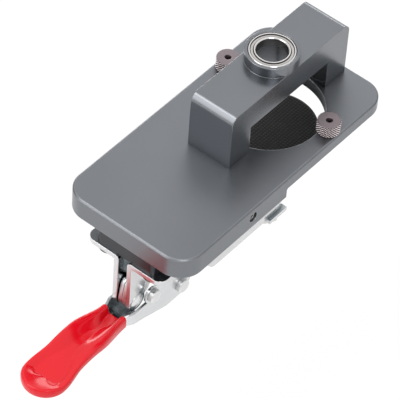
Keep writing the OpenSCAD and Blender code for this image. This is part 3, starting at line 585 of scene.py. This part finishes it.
lower_nut = surface("lower_nut", nut_points(nuts_low[2]), closed_u=True, closed_v=True)
upper_nut = surface("upper_nut", nut_points(nuts_high[2] - nut_tall), closed_u=True, closed_v=True)
thread_zinc = plated("thread_zinc", tone=(0.72, 0.71, 0.68), roughness=0.28)
for piece, node, body in ((spindle, "spindle", "presser"), (lower_nut, "spindle_nuts", "arm"),
                          (upper_nut, "spindle_nuts", "arm")):
    piece.data.materials.append(thread_zinc)
    piece.data.set_sharp_from_angle(angle=0.5)
    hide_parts(node)
    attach(piece, body)


# Pad
# A moulded black rubber pad on the spindle's head. Its face has a fine crossed grid of grooves, so
# that it grips the door without marking it.

pad_r, pad_skirt, pad_sides = round_r("pad"), 0.003, 384
pocket_r, pocket_bevel, pocket_lip = 0.00605, 0.0003, 0.0002
pad_edge = ((0.0, 0.0008), (0.00025, 0.0002), (0.0009, 0.0))
grid_pitch, grid_deep, grid_crest = 0.0012, 0.00028, 1.4
grid_rim, grid_fade = 0.0011, 0.0003


def pad_points():
    """The pad's section spun round the spindle. On its face the height drops by grid_deep along two
    crossed sets of grooves, which stop short of the rounded edge. The second result is 1 on the studs
    between them and 0 in the grooves and off the face."""
    edge = [(pad_r - inward, pad_top - down) for inward, down in pad_edge]
    section = along([(pocket_r, pad_foot + rod_head_tall), (pocket_r, pad_foot + pocket_lip),
                     (pocket_r + pocket_bevel, pad_foot), (pad_r - pad_skirt, pad_foot),
                     (pad_r, pad_top - 2 * pad_skirt), *edge, (0.0, pad_top)],
                    [6, 2, 6, 8, 8, 4, 4, 96])
    points = spun(section, pad_sides)
    face = (section[:, 1] > pad_top - 1e-6)[None, :]
    ridges = np.minimum(wave(points[..., 0] / grid_pitch), wave(points[..., 1] / grid_pitch))
    reach = np.clip((pad_r - grid_rim - section[:, 0]) / grid_fade, 0.0, 1.0)[None, :]
    studs = 1.0 - (1.0 - np.clip(ridges * grid_crest, 0.0, 1.0)) * face * reach
    points[..., 2] -= grid_deep * (1.0 - studs)
    return points + (spindle_x, 0.0, 0.0), studs * face


face_points, face_studs = pad_points()
pad = surface("rubber_pad", face_points, closed_u=True, relief=face_studs)
pad_black, start = finish("pad_black", {"Specular IOR Level": 0.35})
rubber_bloom = grain(start, cells=500.0, detail=4.0)
pores = grain(start, cells=5200.0)
studs = start.node("ShaderNodeAttribute", {"attribute_name": "relief"}, output="Fac")
# Painted shade: the grid's grooves are coloured near black, while the studs between them keep the rubber's
# tone.
start.feed({"Base Color": mixed(studs * 0.85 + rubber_bloom * 0.15, (0.001, 0.001, 0.001),
                                (0.034, 0.033, 0.032)),
            "Roughness": rubber_bloom * 0.2 + 0.5,
            "Normal": bumped(start, pores, strength=0.2, depth=0.00006)})
pad.data.materials.append(pad_black)
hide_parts("pad")
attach(pad, "presser")


# Studio
# A pale floor below the reach of the open clamp's handle, in an even white room that is brighter
# overhead. Soft lamps stand behind the near end, over the near corner and overhead, and low cards
# behind the far end and the rear.

scene.view_settings.view_transform = "Standard"

floor_z, floor_half = -0.104, 6.0
paper_seen, paper_mirrored = 0.86, 0.25
floor_mesh = bpy.data.meshes.new("floor")
floor_mesh.from_pydata([(x * floor_half, y * floor_half, floor_z)
                        for x, y in ((-1, -1), (1, -1), (1, 1), (-1, 1))], [], [(0, 1, 2, 3)])
floor = bpy.data.objects.new("floor", floor_mesh)
scene.collection.objects.link(floor)

paper, start = finish("pale_paper", {"Base Color": (0.86, 0.86, 0.86, 1.0), "Roughness": 0.9})
seen = start.node("ShaderNodeLightPath", output="Is Camera Ray") * paper_seen
mirrored = start.node("ShaderNodeLightPath", output="Is Glossy Ray")
mirrored = mirrored + start.node("ShaderNodeLightPath", output="Is Transmission Ray")
white = start.node("ShaderNodeEmission", {}, {"Color": (1.0, 1.0, 1.0, 1.0), "Strength": 1.0})
lit = Shade(paper.node_tree, paper.node_tree.nodes["Principled BSDF"].outputs[0])
shown = start.node("ShaderNodeMixShader", {}, {0: seen + mirrored * paper_mirrored, 1: lit, 2: white})
paper.node_tree.links.new(shown.socket, paper.node_tree.nodes["Material Output"].inputs[0])
floor_mesh.materials.append(paper)

room_low, room_overhead = 0.35, 1.17
world = bpy.data.worlds.new("white_room")
scene.world = world
world.use_nodes = True
start = Shade(world.node_tree)
ray = start.node("ShaderNodeTexCoord", output="Generated")
ray_height = start.node("ShaderNodeSeparateXYZ", {}, {0: ray}, "Z")
room_light = start.node("ShaderNodeMapRange", {"interpolation_type": "SMOOTHSTEP"},
                        {"Value": ray_height, "From Min": -0.1, "From Max": 0.7,
                         "To Min": room_low, "To Max": room_overhead})
background = world.node_tree.nodes["Background"]
background.inputs["Color"].default_value = (1.0, 1.0, 1.0, 1.0)
world.node_tree.links.new(room_light.socket, background.inputs["Strength"])

jig_middle = np.array((-0.04, 0.0, 0.0))


def posed(right, up, back, place):
    """Matrix of an object at a place, with those directions as its own axes."""
    axes = np.eye(4)
    axes[:3] = np.stack([right, up, back, place], axis=1)
    return Matrix(axes.tolist())


def soft_lamp(name, toward, away, wide, tall, radiance):
    """A rectangular lamp at a distance from the jig's middle in a direction, turned to face it.
    At a radiance of 1 it shows as white: its power is that times pi times its area."""
    lamp = bpy.data.lights.new(name, "AREA")
    lamp.shape = "RECTANGLE"
    lamp.size, lamp.size_y = wide, tall
    lamp.energy = radiance * np.pi * wide * tall
    back = np.asarray(toward, float) / np.linalg.norm(toward)
    right = np.cross((0.0, 0.0, 1.0), back)
    right /= np.linalg.norm(right)
    holder = bpy.data.objects.new(name, lamp)
    holder.matrix_world = posed(right, np.cross(back, right), back, jig_middle + away * back)
    scene.collection.objects.link(holder)


soft_lamp("near_end_lamp", toward=(-0.72, 0.40, 0.56), away=0.9, wide=0.45, tall=1.1, radiance=1.85)
soft_lamp("far_end_card", toward=(0.80, 0.50, 0.31), away=0.9, wide=0.44, tall=0.22, radiance=3.0)
soft_lamp("rear_card", toward=(0.54, 0.80, 0.09), away=0.9, wide=0.36, tall=0.12, radiance=5.0)
soft_lamp("near_corner_lamp", toward=(-0.46, -0.57, 0.68), away=1.3, wide=0.5, tall=0.35, radiance=5.0)
soft_lamp("overhead_card", toward=(-0.22, 0.41, 0.88), away=0.9, wide=0.26, tall=0.26, radiance=3.2)

camera_lens = bpy.data.cameras.new("camera")
camera_lens.lens, camera_lens.sensor_width = 285.33, 36.0
camera_lens.shift_x, camera_lens.shift_y = 0.0041, 0.0006
camera_lens.clip_end = 20.0
camera = bpy.data.objects.new("camera", camera_lens)
camera.matrix_world = posed(right=(0.6397, -0.7670, 0.0498), up=(0.5436, 0.4972, 0.6762),
                            back=(-0.5435, -0.4055, 0.7350), place=(-0.66986, -0.47144, 0.83910))
scene.collection.objects.link(camera)
scene.camera = camera
